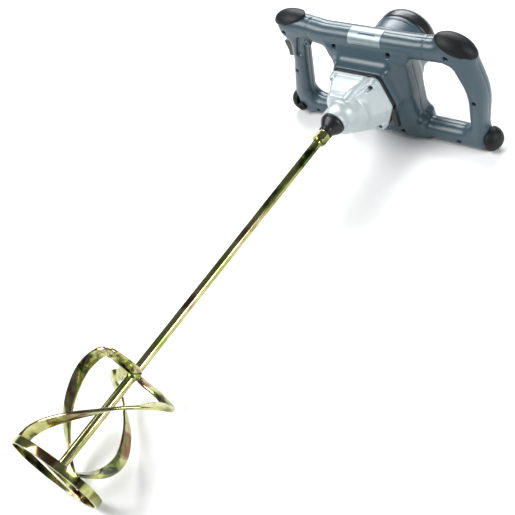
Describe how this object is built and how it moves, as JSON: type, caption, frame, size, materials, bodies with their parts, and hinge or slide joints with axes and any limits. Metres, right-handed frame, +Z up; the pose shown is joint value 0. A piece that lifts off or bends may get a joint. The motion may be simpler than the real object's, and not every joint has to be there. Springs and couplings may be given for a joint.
{
  "type": "mortar mixing paddle",
  "caption": "Hand-held electric mortar mixer: two D-handled moulded housing, die-cast gear case, rear motor, and a long rod with a ribbon paddle and ring.",
  "frame": {"origin": "bottom centre of the bounding box, on the floor that the tool lies on", "axes": "+Z up, -Y towards the paddle, +X towards the right-hand grip seen from behind the tool's motor looking at the paddle from above; the spindle is tilted about +X so that the tool rests on its two lower bumpers and the paddle's ring"},
  "size_m": [0.356, 0.7864, 0.1886],
  "materials": {
    "body_plastic": "fine moulded blue-grey, soft sheen",
    "rubber": "soft black rubber, satin",
    "black_plastic": "black moulded plastic, satin",
    "label_silver": "brushed silver, blank",
    "die_cast": "pressure die-cast, fine satin",
    "black_metal": "black coated steel",
    "bright_steel": "zinc plated steel",
    "gear_steel": "ground steel, oiled",
    "laminated_steel": "laminated steel, varnished",
    "copper": "turned copper",
    "carbon": "pressed carbon",
    "zinc_yellow": "yellow chromated zinc plating, glossy, faint green and pink tints"
  },
  "bodies": {
    "machine": {"front_housing": "body_plastic", "rear_housing": "body_plastic", "housing_screws": "bright_steel", "bumper_top_left": "rubber", "bumper_top_right": "rubber", "bumper_bottom_left": "rubber", "bumper_bottom_right": "rubber", "label_plate": "label_silver", "cable_gland": "rubber", "switch_module": "black_plastic", "field_housing": "body_plastic", "motor_end_cap": "black_plastic", "stator": "laminated_steel", "motor_bearing_front": "bright_steel", "motor_bearing_rear": "bright_steel", "carbon_brushes": "carbon", "brush_holders": "black_plastic", "lay_bearing_rear": "bright_steel", "lay_bearing_front": "bright_steel", "spindle_bearing_rear": "bright_steel", "spindle_bearing_front": "bright_steel", "spindle_seal": "rubber", "gear_case": "die_cast", "gear_case_screws": "bright_steel", "bearing_plate": "black_metal"},
    "paddle": {"spindle": "black_metal", "output_gear": "gear_steel", "paddle_thread": "zinc_yellow", "hex_adapter": "zinc_yellow", "paddle_rod": "zinc_yellow", "ribbon_1": "zinc_yellow", "ribbon_2": "zinc_yellow", "ribbon_3": "zinc_yellow", "bottom_ring": "zinc_yellow", "cross_bar": "zinc_yellow"},
    "layshaft": {"lay_shaft": "gear_steel", "lay_gear": "gear_steel"},
    "armature": {"armature_shaft": "gear_steel", "armature_core": "laminated_steel", "commutator": "copper", "cooling_fan": "black_plastic"},
    "trigger": {"trigger": "black_plastic"}
  },
  "joints": [
    {"name": "paddle_spin", "type": "hinge", "parent": "machine", "child": "paddle", "pos_m": [0, 0.2953, 0.10778], "axis": [0, 0.9976, 0.0699], "continuous": true},
    {"name": "lay_spin", "type": "hinge", "parent": "machine", "child": "layshaft", "pos_m": [0, 0.2975, 0.07636], "axis": [0, 0.9976, 0.0699], "continuous": true},
    {"name": "armature_spin", "type": "hinge", "parent": "machine", "child": "armature", "pos_m": [0, 0.29593, 0.0988], "axis": [0, 0.9976, 0.0699], "continuous": true},
    {"name": "trigger_slide", "type": "slide", "parent": "machine", "child": "trigger", "axis": [1, 0, 0], "range_m": [0, 0.005], "stiffness_N_per_m": 600, "springref_m": -0.002}
  ],
  "couplings": [
    {"joint": "lay_spin", "follows": "paddle_spin", "ratio": -2.8182},
    {"joint": "armature_spin", "follows": "paddle_spin", "ratio": 11.273}
  ]
}
